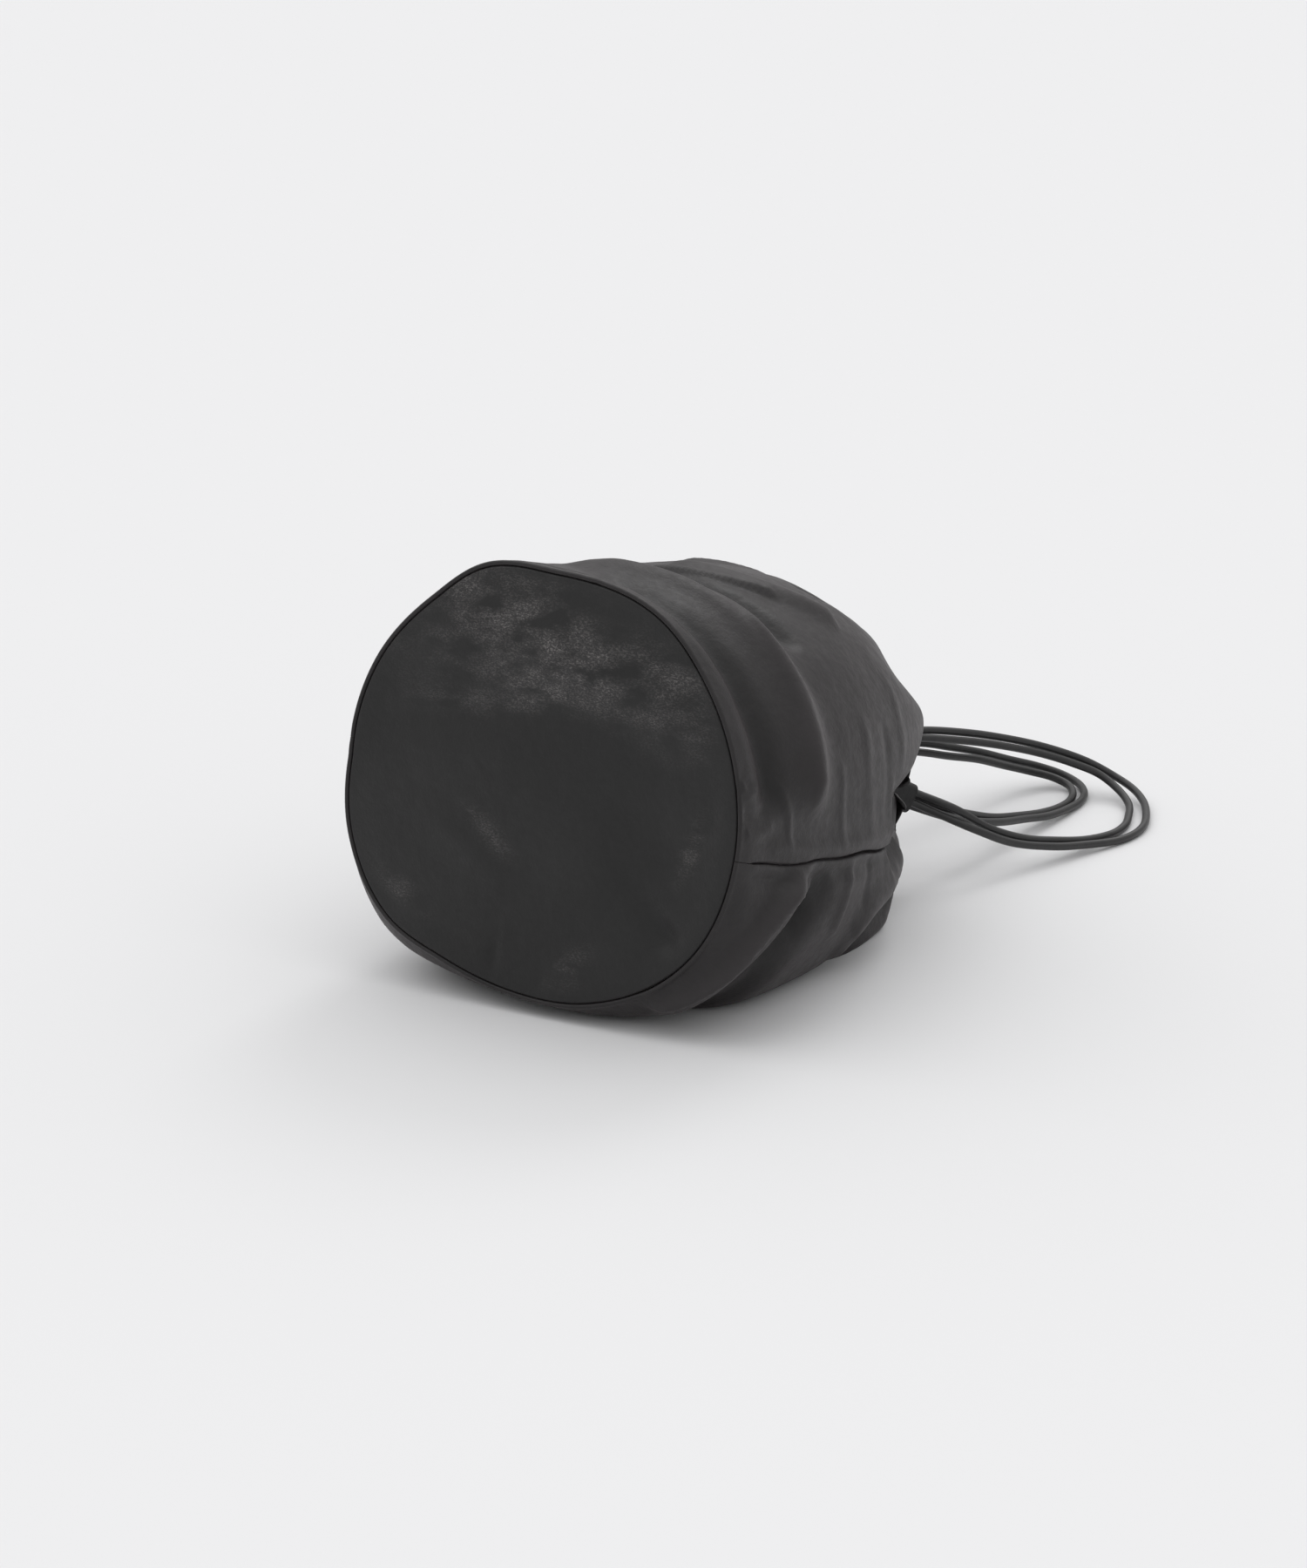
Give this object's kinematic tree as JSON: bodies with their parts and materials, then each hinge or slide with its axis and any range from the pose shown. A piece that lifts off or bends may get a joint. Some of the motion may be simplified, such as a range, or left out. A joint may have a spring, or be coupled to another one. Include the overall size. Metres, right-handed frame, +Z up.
{
  "type": "leather drawstring bag",
  "caption": "Round-based soft leather pouch lying on its side, its mouth gathered by long cord loops that pass through leather keepers.",
  "frame": {"origin": "middle of the flat patch of wall that the bag lies on, in the plane of the surface", "axes": "+Z up from the surface; +Y along the bag's axis, from the round base towards the gathered mouth; +X to the right of someone who faces the base"},
  "size_m": [0.2352, 0.4227, 0.2006],
  "materials": {
    "body_leather": "soft black, satin, worn on the base",
    "keeper_leather": "soft black, satin",
    "cord_leather": "black, lightly waxed"
  },
  "bodies": {
    "root": {"base_disc": "body_leather", "upper_panel": "body_leather", "lower_panel": "body_leather", "right_keeper": "keeper_leather", "left_keeper": "keeper_leather", "outer_cord_a": "cord_leather", "outer_cord_b": "cord_leather", "inner_cord_a": "cord_leather", "inner_cord_b": "cord_leather"}
  },
  "joints": []
}
